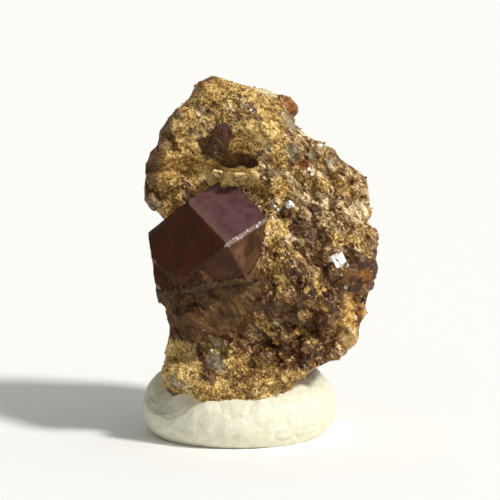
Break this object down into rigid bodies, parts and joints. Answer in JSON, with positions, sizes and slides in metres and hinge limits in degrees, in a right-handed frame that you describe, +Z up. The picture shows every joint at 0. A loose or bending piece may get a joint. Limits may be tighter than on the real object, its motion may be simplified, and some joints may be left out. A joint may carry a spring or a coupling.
{
  "type": "rough garnet specimen on matrix",
  "caption": "Rough garnet crystals on a lump of ochre and brown garnet rock, standing upright in a pressed pad of white putty.",
  "frame": {"origin": "middle of the specimen's box, at the putty's flat underside", "axes": "+Z up along the standing stone, -Y towards the side that shows the large crystal, +X to that side's right"},
  "size_m": [0.018, 0.0158, 0.027],
  "materials": {
    "rock": "matte",
    "dark_garnet": "gloss",
    "amber_garnet": "gloss",
    "putty": "matte"
  },
  "bodies": {
    "root": {"host_rock": "rock", "large_garnet": "dark_garnet", "small_garnet": "dark_garnet", "amber_garnets": "amber_garnet", "putty_foot": "putty"}
  },
  "joints": []
}
